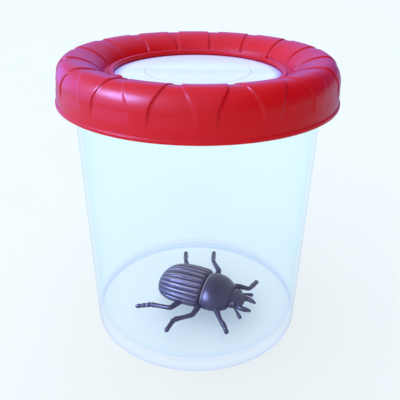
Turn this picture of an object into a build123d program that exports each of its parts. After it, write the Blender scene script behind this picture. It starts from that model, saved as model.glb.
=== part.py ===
from build123d import *
from math import cos, radians, sin
import os

os.makedirs("parts", exist_ok=True)

# All sizes are in millimetres. The origin is the middle of the jar's foot, on the table, with +Z up.
# Directions round the lid are angles from +X, and the front of the jar faces -Y.

# Jar: a clear cup with drafted walls, its floor raised on a foot ring
JAR_HEIGHT = 118.7
JAR_RIM_RADIUS = 49.4
JAR_DRAFT = 1.6
JAR_WALL = 1.7
FLOOR_HEIGHT = 5.8
FLOOR_THICKNESS = 1.6
FLOOR_CORNER = 1.6
FOOT_ROUND = 0.5
RIM_ROUND = 0.6

# Lid: a hollow ring that straddles the jar's rim, with a beaded skirt outside and a lens seat inside
LID_OVERHANG = 6.5
LID_HEIGHT = 16.9
LID_WALL = 1.8
LID_CEILING = 2.1
RIM_PAD_MARGIN = 0.9
BEAD_HEIGHT = 1.4
BEAD_STEP = 0.5
SKIRT_DRAFT = 0.3
SHOULDER_DROP = 8.3
CREST_SETBACK = 6.9
SLOPE_MARGIN = 0.8
SLOPE_TUCK = 3.0

# Lapped lobes round the lid: shallow gaps that open like trumpets from the lens out to the skirt
LOBES = 16
FIRST_GAP_ANGLE = -75.95
LAP_STEP = 0.5
LAP_FADE = 0.4
LAP_RUNOUT = 0.2
GAP_SETBACK = 2.1
GAP_INNER_WIDTH = 0.8
GAP_CREST_WIDTH = 5.2
GAP_SKIRT_WIDTH = 16.2

# Guide ribs inside the skirt centre the lid on the jar
GUIDE_RIBS = 8
GUIDE_RIB_THICKNESS = 1.4
GUIDE_RIB_RISE = 2.4
GUIDE_CLEARANCE = 0.35

# Lens: a narrow flat flange round a magnifier that swells a little above and more below
LENS_DEPTH = 7.3
LENS_RADIUS = 34.9
LENS_FLANGE = 2.0
LENS_FLANGE_WIDTH = 2.6
UPPER_SWELL = 1.0
LOWER_SWELL = 4.4
SEAT_CLEARANCE = 0.3
SEAT_LEDGE_WIDTH = 1.7
SEAT_LEDGE_THICKNESS = 1.2

# Retaining ring: a collar let into the lens seat, with two finger tabs
COLLAR_WIDTH = 1.9
COLLAR_HEIGHT = 1.7
COLLAR_LET_IN = 0.5
COLLAR_ROUND = 0.45
COLLAR_CLEARANCE = 0.2
TAB_ANGLE = 33.6
TAB_COUNT = 2
TAB_WIDTH = 3.2
TAB_DEPTH = 1.2
TAB_HEIGHT = 1.2

# Toy beetle: one moulded piece that stands on the jar's floor. It is built in its own frame, with
# +X towards the head, +Y towards its left side and Z measured up from the floor.
BEETLE_PLACE = (4.8, -6.1)
BEETLE_HEADING = -22.0
BEETLE_CLEARANCE = 0.1
MARGIN_HEIGHT = 2.8
BELLY_HEIGHT = 1.4

# Wing cases, with lengthwise ridges. Each station gives shares of the length back from the front
# edge, of the half width and of the rise over the margin.
WING_LENGTH = 24.4
WING_HALF_WIDTH = 12.3
WING_TOP = 13.2
WING_RIDGES = 14
RIDGE_HEIGHT = 0.45
WING_STATIONS = [
    (0.02, 0.95, 0.95),
    (0.35, 1.00, 1.00),
    (0.62, 0.95, 0.94),
    (0.84, 0.73, 0.73),
    (0.96, 0.42, 0.42),
    (1.00, 0.16, 0.16),
]

# Shield behind the head. Each station gives shares of the length forward from the rear edge, of
# the half width and of the rise over the margin.
SHIELD_LENGTH = 12.8
SHIELD_HALF_WIDTH = 11.7
SHIELD_TOP = 12.3
SHIELD_STATIONS = [
    (0.04, 0.96, 0.94),
    (0.30, 1.00, 1.00),
    (0.65, 0.90, 0.84),
    (1.00, 0.64, 0.52),
]

# Head. Each station gives shares of the length forward from the neck, of the half width and of the
# rise over the margin.
HEAD_START = 10.5
HEAD_LENGTH = 8.6
HEAD_HALF_WIDTH = 5.8
HEAD_TOP = 7.0
HEAD_BELLY = 2.0
HEAD_STATIONS = [
    (0.00, 0.95, 0.95),
    (0.45, 1.00, 0.90),
    (0.80, 0.80, 0.55),
    (1.00, 0.52, 0.28),
]

# The waist joins the wing cases to the shield at the bottom of the groove between them
WAIST_LENGTH = 6.0
WAIST_SHARE = 0.88
WAIST_BELLY = 1.9

# Eyes, the left one of a pair, then jaws and feelers, left and right, from the head to the tip,
# with the radius at each point
EYE_POINTS = [(14.5, 3.9, 3.7), (15.1, 5.0, 4.4)]
EYE_RADII = [1.5, 1.0]
JAW_POINTS = [
    [(16.6, 2.7, 2.6), (20.6, 3.3, 2.4), (24.0, 2.1, 2.2)],
    [(16.6, -3.3, 2.6), (20.4, -4.5, 2.4), (23.6, -4.3, 2.2)],
]
JAW_RADII = [1.4, 1.0, 0.5]
FEELER_POINTS = [
    [(14.8, 4.2, 3.1), (18.2, 5.9, 2.9), (21.6, 6.8, 2.7)],
    [(14.8, -4.4, 3.1), (17.6, -7.3, 2.8), (20.6, -10.9, 2.5)],
]
FEELER_RADII = [0.65, 0.7, 0.95]

# Legs from the hip through the knee and ankle to the foot, posed as the beetle walks
LEG_POINTS = [
    [(-7.5, -8.0, 3.3), (-10.8, -17.9, 3.7), (-20.9, -17.8, 2.4), (-28.1, -20.0, 0.7)],
    [(0.5, -8.0, 3.2), (0.2, -18.0, 3.2), (-6.6, -23.7, 2.8), (-7.7, -30.3, 0.7)],
    [(7.2, -8.0, 3.0), (12.8, -15.8, 2.7), (15.7, -18.4, 2.2), (18.0, -21.1, 0.7)],
    [(-8.0, 8.0, 3.4), (-14.8, 12.6, 5.2), (-18.1, 16.8, 5.6), (-24.0, 30.6, 0.8)],
    [(1.0, 8.0, 3.2), (0.9, 15.0, 5.8), (-5.3, 23.2, 5.0), (-9.8, 36.8, 0.8)],
    [(8.0, 7.0, 3.2), (13.2, 9.0, 4.0), (18.5, 9.8, 3.4), (19.6, 20.6, 0.7)],
]
LEG_RADII = [1.4, 1.15, 0.95, 0.75]
JOINT_OVERLAP = 0.6

# Places that follow from the sizes above
JAR_FOOT_RADIUS = JAR_RIM_RADIUS - JAR_DRAFT
LID_RADIUS = JAR_RIM_RADIUS + LID_OVERHANG
CREST_RADIUS = LID_RADIUS - CREST_SETBACK
SEAT_RADIUS = LENS_RADIUS + SEAT_CLEARANCE
SLOPE_REACH = CREST_RADIUS - SEAT_RADIUS - SLOPE_MARGIN
SLOPE_DROP = LENS_DEPTH + SLOPE_TUCK
GAP_INNER_RADIUS = SEAT_RADIUS + GAP_SETBACK
LID_TOP = JAR_HEIGHT + LID_CEILING
LID_BOTTOM = LID_TOP - LID_HEIGHT
BEAD_TOP = LID_BOTTOM + BEAD_HEIGHT
SKIRT_RADIUS = LID_RADIUS - BEAD_STEP
SHOULDER_RADIUS = SKIRT_RADIUS - SKIRT_DRAFT
SHOULDER_HEIGHT = LID_TOP - SHOULDER_DROP
SLOPE_HEIGHT = LID_TOP - SLOPE_DROP
LENS_TOP = LID_TOP - LENS_DEPTH
LENS_BOTTOM = LENS_TOP - LENS_FLANGE
MAGNIFIER_RADIUS = LENS_RADIUS - LENS_FLANGE_WIDTH
SEAT_WINDOW_RADIUS = LENS_RADIUS - SEAT_LEDGE_WIDTH
SEAT_BOTTOM = LENS_BOTTOM - SEAT_LEDGE_THICKNESS
SEAT_WALL_RADIUS = CREST_RADIUS - SLOPE_REACH + LID_WALL
VALLEY_HEIGHT = LENS_TOP + COLLAR_LET_IN
COLLAR_RADIUS = SEAT_RADIUS - COLLAR_CLEARANCE
COLLAR_TOP = LENS_TOP + COLLAR_HEIGHT
GUIDE_RADIUS = JAR_RIM_RADIUS + GUIDE_CLEARANCE
CUP_RIM_RADIUS = JAR_RIM_RADIUS - JAR_WALL
FLOOR_SHARE = FLOOR_HEIGHT / JAR_HEIGHT
CUP_FLOOR_RADIUS = JAR_FOOT_RADIUS * (1 - FLOOR_SHARE) + JAR_RIM_RADIUS * FLOOR_SHARE - JAR_WALL
LAP_FOOT = BEAD_TOP + LAP_FADE
GAP_END = (SKIRT_RADIUS**2 - (GAP_SKIRT_WIDTH / 2) ** 2) ** 0.5
BEETLE_PLANE = Plane((*BEETLE_PLACE, FLOOR_HEIGHT)).rotated((0, 0, BEETLE_HEADING))


def ring_outline(depth, skirt_foot):
    """Gives the lid's ring, in section, at a depth under its outer surface and down to a foot point."""
    slope_foot = (CREST_RADIUS - SLOPE_REACH + depth, SLOPE_HEIGHT)
    shoulder_reach = SHOULDER_RADIUS - CREST_RADIUS - depth
    shoulder_center = (CREST_RADIUS, SHOULDER_HEIGHT)
    slope_center = (CREST_RADIUS, SLOPE_HEIGHT)
    with BuildLine() as outline:
        Line(skirt_foot, (CREST_RADIUS + shoulder_reach, SHOULDER_HEIGHT))
        EllipticalCenterArc(shoulder_center, shoulder_reach, SHOULDER_DROP - depth, 0, arc_size=90)
        EllipticalCenterArc(slope_center, SLOPE_REACH - depth, SLOPE_DROP - depth, 90, arc_size=90)
        Polyline(slope_foot, (slope_foot[0], skirt_foot[1]), skirt_foot)
    return outline.edges()


def ring_block(inner, outer, low, high, mode=Mode.ADD):
    """Draws a rectangle in section, between two radii and two heights."""
    with Locations(((inner + outer) / 2, (low + high) / 2)):
        Rectangle(outer - inner, high - low, mode=mode)


def back_point(half_width, rise, angle):
    """Gives a point on the beetle's domed back, at an angle over the left margin."""
    return (half_width * cos(radians(angle)), MARGIN_HEIGHT + rise * sin(radians(angle)))


def smooth_slice(station, half_width, rise, belly):
    """Gives a slice across the beetle with a smooth domed back over a shallow belly."""
    margin = (0, MARGIN_HEIGHT)
    with BuildSketch(Plane.YZ.offset(station)) as slice_face:
        with BuildLine():
            EllipticalCenterArc(margin, half_width, rise, 0, arc_size=90)
            EllipticalCenterArc(margin, half_width, rise, 90, arc_size=90)
            ThreePointArc((-half_width, MARGIN_HEIGHT), (0, belly), (half_width, MARGIN_HEIGHT))
        make_face()
    return slice_face.sketch


def ridged_slice(station, half_width, rise, ridge):
    """Gives a slice across the wing cases, whose back is a row of rounded ridges."""
    step = 180 / WING_RIDGES
    with BuildSketch(Plane.YZ.offset(station)) as slice_face:
        with BuildLine():
            for index in range(WING_RIDGES):
                ThreePointArc(
                    back_point(half_width, rise, index * step),
                    back_point(half_width + ridge, rise + ridge, (index + 0.5) * step),
                    back_point(half_width, rise, (index + 1) * step),
                )
            ThreePointArc((-half_width, MARGIN_HEIGHT), (0, BELLY_HEIGHT), (half_width, MARGIN_HEIGHT))
        make_face()
    return slice_face.sketch


def limb(points, radii):
    """Adds a run of tapered round segments, each reaching a little past its joints."""
    for start, end, start_radius, end_radius in zip(points, points[1:], radii, radii[1:]):
        direction = (Vector(end) - Vector(start)).normalized()
        root = Vector(start) - direction * start_radius * JOINT_OVERLAP
        tip = Vector(end) + direction * end_radius * JOINT_OVERLAP
        with Locations(Plane(root, z_dir=direction)):
            Cone(start_radius, end_radius, (tip - root).length, align=(Align.CENTER, Align.CENTER, Align.MIN))


# Jar: the cup and the hollow under its floor are cut from one drafted body
with BuildPart() as jar_body:
    with BuildSketch(Plane.XZ):
        with BuildLine():
            Polyline((0, 0), (JAR_FOOT_RADIUS, 0), (JAR_RIM_RADIUS, JAR_HEIGHT), (0, JAR_HEIGHT), close=True)
        make_face()
    revolve(axis=Axis.Z)
    with BuildSketch(Plane.XZ) as cup:
        with BuildLine():
            Polyline(
                (0, FLOOR_HEIGHT),
                (CUP_FLOOR_RADIUS, FLOOR_HEIGHT),
                (CUP_RIM_RADIUS, JAR_HEIGHT),
                (0, JAR_HEIGHT),
                close=True,
            )
        make_face()
        fillet(cup.vertices().group_by(Axis.Y)[0].sort_by(Axis.X)[-1], FLOOR_CORNER)
    revolve(axis=Axis.Z, mode=Mode.SUBTRACT)
    with BuildSketch(Plane.XZ):
        ring_block(0, JAR_FOOT_RADIUS - JAR_WALL, 0, FLOOR_HEIGHT - FLOOR_THICKNESS)
    revolve(axis=Axis.Z, mode=Mode.SUBTRACT)
    fillet(jar_body.edges().group_by(Axis.Z)[-1], RIM_ROUND)
    fillet(jar_body.edges().group_by(Axis.Z)[0].sort_by(SortBy.RADIUS)[-1], FOOT_ROUND)
jar_body.part.label = "jar_body"
export_step(jar_body.part, "parts/jar_body.step")

# One gap between two lobes: a skin of the lid's outside, cut to a trumpet as seen from above
with BuildPart() as lap_gap:
    with BuildSketch(Plane.XZ):
        ring_block(SEAT_RADIUS, LID_RADIUS + LID_WALL, LAP_FOOT, LID_TOP + LID_WALL)
        make_face(ring_outline(LAP_STEP, (SKIRT_RADIUS + LAP_RUNOUT, LAP_FOOT)), mode=Mode.SUBTRACT)
        ring_block(0, CREST_RADIUS, 0, VALLEY_HEIGHT, mode=Mode.SUBTRACT)
    revolve(axis=Axis.Z)
    with BuildSketch(Plane.XY.offset(LID_BOTTOM)):
        with BuildLine():
            gap_side = Line((GAP_INNER_RADIUS, GAP_INNER_WIDTH / 2), (CREST_RADIUS, GAP_CREST_WIDTH / 2))
            gap_flare = TangentArc(gap_side @ 1, (GAP_END, GAP_SKIRT_WIDTH / 2), tangent=gap_side % 1)
            Line(gap_side @ 0, (GAP_INNER_RADIUS, -GAP_INNER_WIDTH / 2))
            Polyline(
                gap_flare @ 1,
                (LID_RADIUS, GAP_SKIRT_WIDTH / 2),
                (LID_RADIUS, -GAP_SKIRT_WIDTH / 2),
                (GAP_END, -GAP_SKIRT_WIDTH / 2),
            )
            mirror(gap_side, about=Plane.XZ)
            mirror(gap_flare, about=Plane.XZ)
        make_face()
    extrude(amount=LID_HEIGHT + LID_WALL, mode=Mode.INTERSECT)

# One guide rib, rooted in the lid's wall and stopping just short of the jar
with BuildPart() as guide_rib:
    with BuildSketch(Plane.XZ):
        make_face(ring_outline(LID_WALL / 2, (SKIRT_RADIUS - LID_WALL / 2, LID_BOTTOM)))
        ring_block(GUIDE_RADIUS, LID_RADIUS, LID_BOTTOM + GUIDE_RIB_RISE, LID_TOP, mode=Mode.INTERSECT)
    extrude(amount=GUIDE_RIB_THICKNESS / 2, both=True)

# Lid ring: the ring hollowed from below, with a pad that rests on the jar's rim and the lens seat
with BuildPart() as lid_ring:
    with BuildSketch(Plane.XZ):
        make_face(ring_outline(0, (SKIRT_RADIUS, LID_BOTTOM)))
        ring_block(SKIRT_RADIUS - LID_WALL, LID_RADIUS, LID_BOTTOM, BEAD_TOP)
        ring_block(SEAT_WINDOW_RADIUS, SEAT_WALL_RADIUS, LID_BOTTOM, VALLEY_HEIGHT)
        make_face(ring_outline(LID_WALL, (SKIRT_RADIUS - LID_WALL, LID_BOTTOM)), mode=Mode.SUBTRACT)
        ring_block(
            CUP_RIM_RADIUS - RIM_PAD_MARGIN,
            JAR_RIM_RADIUS + RIM_PAD_MARGIN,
            JAR_HEIGHT,
            LID_TOP - LID_WALL / 2,
        )
        ring_block(0, SEAT_RADIUS, LENS_BOTTOM, LID_TOP, mode=Mode.SUBTRACT)
        ring_block(0, SEAT_WALL_RADIUS, 0, SEAT_BOTTOM, mode=Mode.SUBTRACT)
    revolve(axis=Axis.Z)
    with PolarLocations(0, LOBES, start_angle=FIRST_GAP_ANGLE):
        add(lap_gap.part, mode=Mode.SUBTRACT)
    with PolarLocations(0, GUIDE_RIBS, start_angle=FIRST_GAP_ANGLE):
        add(guide_rib.part)
lid_ring.part.label = "lid_ring"
export_step(lid_ring.part, "parts/lid_ring.step")

# Magnifier lens: it lies on the seat's ledge by its flange
with BuildPart() as magnifier_lens:
    with BuildSketch(Plane.XZ):
        with BuildLine():
            upper_face = TangentArc(
                (0, LENS_TOP + UPPER_SWELL),
                (MAGNIFIER_RADIUS, LENS_TOP),
                tangent=(1, 0),
            )
            lower_face = TangentArc(
                (0, LENS_BOTTOM - LOWER_SWELL),
                (MAGNIFIER_RADIUS, LENS_BOTTOM),
                tangent=(1, 0),
            )
            Polyline(
                upper_face @ 1,
                (LENS_RADIUS, LENS_TOP),
                (LENS_RADIUS, LENS_BOTTOM),
                lower_face @ 1,
            )
            Line(upper_face @ 0, lower_face @ 0)
        make_face()
    revolve(axis=Axis.Z)
magnifier_lens.part.label = "magnifier_lens"
export_step(magnifier_lens.part, "parts/magnifier_lens.step")

# Lens retaining ring: it lies on the lens's flange inside the seat
with BuildPart() as lens_retaining_ring:
    with BuildSketch(Plane.XZ) as collar:
        ring_block(COLLAR_RADIUS - COLLAR_WIDTH, COLLAR_RADIUS, LENS_TOP, COLLAR_TOP)
        fillet(collar.vertices().group_by(Axis.Y)[-1], COLLAR_ROUND)
    revolve(axis=Axis.Z)
    with Locations((0, 0, LENS_TOP + COLLAR_HEIGHT / 2)):
        with PolarLocations(COLLAR_RADIUS - COLLAR_WIDTH / 2, TAB_COUNT, start_angle=TAB_ANGLE):
            Box(
                TAB_DEPTH,
                TAB_WIDTH,
                COLLAR_HEIGHT / 2 + TAB_HEIGHT,
                align=(Align.CENTER, Align.CENTER, Align.MIN),
            )
lens_retaining_ring.part.label = "lens_retaining_ring"
export_step(lens_retaining_ring.part, "parts/lens_retaining_ring.step")

# Toy beetle in its own frame: lofted body, then jaws, feelers and legs, with the feet cut flat
with BuildPart() as beetle_form:
    loft(
        [
            ridged_slice(
                -along * WING_LENGTH,
                width * WING_HALF_WIDTH,
                rise * (WING_TOP - MARGIN_HEIGHT),
                width * RIDGE_HEIGHT,
            )
            for along, width, rise in WING_STATIONS
        ]
    )
    loft(
        [
            smooth_slice(
                along * SHIELD_LENGTH,
                width * SHIELD_HALF_WIDTH,
                rise * (SHIELD_TOP - MARGIN_HEIGHT),
                BELLY_HEIGHT,
            )
            for along, width, rise in SHIELD_STATIONS
        ]
    )
    loft(
        [
            smooth_slice(
                HEAD_START + along * HEAD_LENGTH,
                width * HEAD_HALF_WIDTH,
                rise * (HEAD_TOP - MARGIN_HEIGHT),
                HEAD_BELLY,
            )
            for along, width, rise in HEAD_STATIONS
        ]
    )
    waist_slice = smooth_slice(
        -WAIST_LENGTH / 2,
        WAIST_SHARE * SHIELD_HALF_WIDTH,
        WAIST_SHARE * (SHIELD_TOP - MARGIN_HEIGHT),
        WAIST_BELLY,
    )
    extrude(waist_slice, amount=WAIST_LENGTH)
    for side in (1, -1):
        limb([(x, side * y, z) for x, y, z in EYE_POINTS], EYE_RADII)
    for jaw in JAW_POINTS:
        limb(jaw, JAW_RADII)
    for feeler in FEELER_POINTS:
        limb(feeler, FEELER_RADII)
    for leg in LEG_POINTS:
        limb(leg, LEG_RADII)
    split(bisect_by=Plane.XY.offset(BEETLE_CLEARANCE), keep=Keep.TOP)

with BuildPart(BEETLE_PLANE) as toy_beetle:
    add(beetle_form.part)
toy_beetle.part.label = "toy_beetle"
export_step(toy_beetle.part, "parts/toy_beetle.step")
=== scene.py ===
"""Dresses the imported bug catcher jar: clear jar, red lobed lid, magnifying lens, its ring and a toy beetle.

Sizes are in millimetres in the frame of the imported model: the origin is the middle of the jar's foot, +Z is up
and the front of the jar faces -Y. Meshes are written in metres.
"""

import logging
from collections.abc import Callable
from dataclasses import dataclass
from enum import Enum
from functools import partial
from typing import Any

import bpy
import numpy as np
from mathutils import Matrix, Vector

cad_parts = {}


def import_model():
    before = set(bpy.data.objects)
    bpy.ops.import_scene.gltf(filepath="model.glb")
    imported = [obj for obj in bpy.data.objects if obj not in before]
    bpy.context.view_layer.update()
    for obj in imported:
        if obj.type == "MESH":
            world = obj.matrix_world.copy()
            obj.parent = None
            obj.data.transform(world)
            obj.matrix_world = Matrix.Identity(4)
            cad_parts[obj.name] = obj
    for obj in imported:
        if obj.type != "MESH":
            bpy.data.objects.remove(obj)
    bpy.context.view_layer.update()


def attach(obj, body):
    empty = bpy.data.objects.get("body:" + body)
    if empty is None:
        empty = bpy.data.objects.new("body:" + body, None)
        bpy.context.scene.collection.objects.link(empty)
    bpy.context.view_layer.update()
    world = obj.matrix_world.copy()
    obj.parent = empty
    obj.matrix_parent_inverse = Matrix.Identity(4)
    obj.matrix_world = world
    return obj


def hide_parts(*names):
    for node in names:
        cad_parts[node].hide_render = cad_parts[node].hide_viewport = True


LOG = logging.getLogger("bug_catcher_jar")
MM = 0.001
UP = np.array([0.0, 0.0, 1.0])

Array = np.ndarray
Material = bpy.types.Material
Tones = tuple[str, str]
Pair = tuple[float, float]
Triple = tuple[float, float, float]
Series = tuple[float, ...]
Path = tuple[Triple, ...]
Socket = bpy.types.NodeSocket
Adder = Callable[..., Socket]


class Body(Enum):
    """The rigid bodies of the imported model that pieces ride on."""

    JAR = "jar"
    LID = "lid"
    BEETLE = "beetle"


class Slot(Enum):
    """The record's material slots."""

    JAR = "clear_jar_plastic"
    LID = "red_lid_plastic"
    LENS = "clear_lens_plastic"
    BEETLE = "dark_beetle_plastic"


# Shapes worked out with numpy


@dataclass
class Surface:
    """A grid of points in millimetres, rows by columns by 3, and how its edges close.

    Attributes:
        wrap_rows: True if the last row joins the first, and wrap_columns says the same of columns.
        tips: True if the first and last rows each close on a point at their middle.
        accent: Rows by columns, from 0 for plain to 1 where a tint goes: painted highlights, painted shade, and tinted
            rims and rings.
    """

    points: Array
    wrap_rows: bool = False
    wrap_columns: bool = True
    tips: bool = False
    accent: Array | None = None

    def corners(self) -> tuple[Array, Array]:
        """Gives the points by 3 and their accents as flat lists, with the tips last."""
        points = self.points.reshape(-1, 3)
        accent = np.zeros(self.points.shape[:2]) if self.accent is None else self.accent
        shares = accent.reshape(-1)
        if self.tips:
            points = np.vstack([points, self.points[0].mean(axis=0), self.points[-1].mean(axis=0)])
            shares = np.concatenate([shares, [accent[0].mean(), accent[-1].mean()]])
        return points, shares

    def faces(self) -> tuple[Array, Array]:
        """Gives quads between neighbouring rows and columns, and triangles round the tips, facing outwards.

        A closed shape whose signed volume comes out negative has its faces turned round.

        Returns:
            Quads by 4 and triangles by 3, as point numbers.
        """
        rows, columns = self.points.shape[:2]
        index = np.arange(rows * columns).reshape(rows, columns)
        if self.wrap_rows:
            index = np.vstack([index, index[:1]])
        if self.wrap_columns:
            index = np.hstack([index, index[:, :1]])
        quads = np.stack([index[:-1, :-1], index[:-1, 1:], index[1:, 1:], index[1:, :-1]], axis=-1).reshape(-1, 4)
        fans = np.zeros((0, 3), dtype=int)
        if self.tips:
            across = index.shape[1] - 1
            first = np.stack([np.full(across, rows * columns), index[0, 1:], index[0, :-1]], axis=-1)
            last = np.stack([np.full(across, rows * columns + 1), index[-1, :-1], index[-1, 1:]], axis=-1)
            fans = np.vstack([first, last])
        points = self.corners()[0]
        split = np.vstack([quads[:, [0, 1, 2]], quads[:, [0, 2, 3]], fans])
        a, b, c = (points[split[:, k]] for k in range(3))
        if np.einsum("ij,ij->", a, np.cross(b, c)) < 0:
            quads, fans = quads[:, ::-1], fans[:, ::-1]
        return quads, fans


def softened(corners: Array, reach: Series | float, steps: int = 6, closed: bool = False) -> Array:
    """Rounds the corners of a run of straight lines.

    Each corner B becomes the parabola (1-t)^2 A + 2t(1-t) B + t^2 C, where A and C lie on its two lines at a
    distance from it.

    Args:
        corners: Points by 2 or 3.
        reach: The distance, one for all corners or one each.
        steps: Points on each rounded corner.
        closed: True if the last corner joins the first. An open run keeps its two ends.

    Returns:
        The rounded run.
    """
    before, after = np.roll(corners, 1, axis=0), np.roll(corners, -1, axis=0)
    span = np.broadcast_to(np.asarray(reach, dtype=float), len(corners))[:, None]

    def towards(other: Array) -> Array:
        """Gives the point on the line to a neighbour, at the reach but never past its middle."""
        way = other - corners
        length = np.linalg.norm(way, axis=1, keepdims=True)
        return corners + way * np.minimum(span / length, 0.5)

    t = np.linspace(0, 1, steps)[None, :, None]
    start, end = towards(before)[:, None], towards(after)[:, None]
    curves = (1 - t) ** 2 * start + 2 * t * (1 - t) * corners[:, None] + t**2 * end
    if closed:
        return curves.reshape(-1, corners.shape[1])
    return np.vstack([corners[:1], curves[1:-1].reshape(-1, corners.shape[1]), corners[-1:]])


def lengths(run: Array) -> Array:
    """Gives the length along a run of points, from 0 at the first."""
    return np.concatenate([[0.0], np.cumsum(np.linalg.norm(np.diff(run, axis=0), axis=1))])


def refined(run: Array, spacing: float, hug: float = 0.12) -> Array:
    """Adds points along long straight runs, at even steps of length and close to each corner.

    Args:
        run: Points by 2 or 3, in order.
        spacing: The longest step.
        hug: How close to each given point its two extra neighbours lie.

    Returns:
        The same run with more points.
    """
    run = run[np.concatenate([[True], np.linalg.norm(np.diff(run, axis=0), axis=1) > 1e-6])]
    length = lengths(run)
    even = np.arange(0, length[-1], spacing)
    gap = np.abs(even[:, None] - length[None, :]).min(axis=1)
    long_runs = np.flatnonzero(np.diff(length) > 4 * hug)
    near = np.concatenate([length[long_runs] + hug, length[long_runs + 1] - hug])
    at = np.union1d(np.union1d(length, even[gap > spacing / 2]), near)
    return np.stack([np.interp(at, length, run[:, k]) for k in range(run.shape[1])], axis=-1)


def arc(center: Pair, reach: float, rise: float, start: float, stop: float, count: int) -> Array:
    """Gives part of an ellipse: (center + reach cos a, center + rise sin a), with a from start to stop in degrees."""
    angle = np.radians(np.linspace(start, stop, count))
    return np.stack([center[0] + reach * np.cos(angle), center[1] + rise * np.sin(angle)], axis=-1)


def through(knots: Series, values: Series, at: Array) -> Array:
    """Gives a smooth curve through values: cubic Hermite pieces whose slopes come from the neighbouring knots.

    Args:
        knots: Rising parameters.
        values: One for each knot.
        at: Where to read the curve.

    Returns:
        The values there.
    """
    knots, values = np.asarray(knots, dtype=float), np.asarray(values, dtype=float)
    slope = np.gradient(values, knots)
    i = np.clip(np.searchsorted(knots, at, side="right") - 1, 0, len(knots) - 2)
    step = knots[i + 1] - knots[i]
    t = (np.clip(at, knots[0], knots[-1]) - knots[i]) / step
    return (
        (2 * t**3 - 3 * t**2 + 1) * values[i]
        + (t**3 - 2 * t**2 + t) * step * slope[i]
        + (3 * t**2 - 2 * t**3) * values[i + 1]
        + (t**3 - t**2) * step * slope[i + 1]
    )


def eased(share: Array) -> Array:
    """Gives 0 below 0, 1 above 1 and 3s^2 - 2s^3 between."""
    s = np.clip(share, 0, 1)
    return s * s * (3 - 2 * s)


def bump(at: Array, middle: float, width: float) -> Array:
    """Gives 1 at the middle and exp(-((at - middle) / width)^2) beside it."""
    return np.exp(-(((at - middle) / width) ** 2))


def rolled(away: Array, depth: float = 1.0, power: float = 2.0) -> Array:
    """Gives 1 up to an away of 0, then falls by depth on a superellipse sqrt(1 - away^power), down to an away of 1."""
    return np.sqrt(np.clip(1 - np.clip(away, 0, 1) ** power, 0, 1)) * depth + (1 - depth)


def revolved(section: Array, segments: int) -> Array:
    """Carries a section of radius and height round the Z axis: x = r cos a, y = r sin a, z = h."""
    angle = np.linspace(0, 2 * np.pi, segments, endpoint=False)[None, :]
    radius, height = section[:, 0, None], section[:, 1, None]
    return np.stack([radius * np.cos(angle), radius * np.sin(angle), height + 0 * angle], axis=-1)


def tube(path: Array, radius: Array, around: int = 20) -> Array:
    """Carries a circle along a path: P = path + r (cos a side + sin a lift), square to the path's direction."""
    direction = np.gradient(path, axis=0)
    direction /= np.linalg.norm(direction, axis=1, keepdims=True)
    side = np.cross(direction, UP)
    side /= np.linalg.norm(side, axis=1, keepdims=True)
    lift = np.cross(side, direction)
    angle = np.linspace(0, 2 * np.pi, around, endpoint=False)[None, :, None]
    ring = np.cos(angle) * side[:, None] + np.sin(angle) * lift[:, None]
    return path[:, None] + radius[:, None, None] * ring


def turned(points: Array, degrees: float) -> Array:
    """Turns points about the Z axis."""
    c, s = np.cos(np.radians(degrees)), np.sin(np.radians(degrees))
    return points @ np.array([[c, s, 0], [-s, c, 0], [0, 0, 1]])


def pillow(center: Array, half: Array, squareness: float, turn: float = 0.0, count: int = 24) -> Array:
    """Gives a rounded block: x = half_x c(v) c(u), y = half_y c(v) s(u), z = half_z s(v).

    Here c and s are the cosine and sine raised to a small power, with their sign kept.

    Args:
        center: The block's middle.
        half: Its half sizes.
        squareness: The power: 1 is an ellipsoid, and towards 0 the block gets square.
        turn: Degrees about Z, round the block's own middle.
        count: Points along half a turn.

    Returns:
        Rows by columns by 3, with open tips.
    """

    def kept(values: Array) -> Array:
        """Raises to the power and keeps the sign."""
        return np.sign(values) * np.abs(values) ** squareness

    v = np.linspace(-np.pi / 2, np.pi / 2, count + 2)[1:-1, None]
    u = np.linspace(0, 2 * np.pi, 2 * count, endpoint=False)[None, :]
    level = kept(np.cos(v))
    shape = np.stack([level * kept(np.cos(u)), level * kept(np.sin(u)), kept(np.sin(v)) + 0 * u], axis=-1)
    return turned(shape * half, turn) + center


def put(name: str, data: bpy.types.ID) -> bpy.types.Object:
    """Puts a mesh, a lamp or a camera into the scene as an object."""
    thing = bpy.data.objects.new(name, data)
    bpy.context.scene.collection.objects.link(thing)
    return thing


def make_piece(name: str, surfaces: list[Surface], finish: Material, body: Body) -> bpy.types.Object:
    """Writes surfaces into one mesh object, dresses it and lets it ride on its body.

    Args:
        name: The piece's name.
        surfaces: The grids that make it.
        finish: Its material.
        body: The body it moves with.

    Returns:
        The new object.
    """
    points, shares, faces = np.zeros((0, 3)), np.zeros(0), []
    for surface in surfaces:
        spots, accent = surface.corners()
        for group in surface.faces():
            faces += (group + len(points)).tolist()
        points, shares = np.vstack([points, spots]), np.concatenate([shares, accent])
    mesh = bpy.data.meshes.new(name)
    mesh.from_pydata((points * MM).tolist(), [], faces)
    attribute = mesh.attributes.new("accent", "FLOAT", "POINT")
    attribute.data.foreach_set("value", shares.astype(np.float32))
    mesh.shade_smooth()
    mesh.materials.append(finish)
    piece = put(name, mesh)
    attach(piece, body.value)
    LOG.info("%s: %d points, %d faces, rides on %s", name, len(points), len(faces), body.value)
    return piece


# Finishes, whose colours are sRGB hex codes and whose pattern sizes are in mm


COLOUR = {"data_type": "RGBA", "out": 2}  # What makes a Mix node mix colours, and the output that it then uses


def linear(code: str) -> tuple[float, float, float, float]:
    """Turns an sRGB hex colour into linear red, green, blue and a full alpha."""
    srgb = np.array([int(code.lstrip("#")[k : k + 2], 16) for k in (0, 2, 4)]) / 255
    plain = np.where(srgb <= 0.04045, srgb / 12.92, ((srgb + 0.055) / 1.055) ** 2.4)
    return (*plain.tolist(), 1.0)


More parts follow.
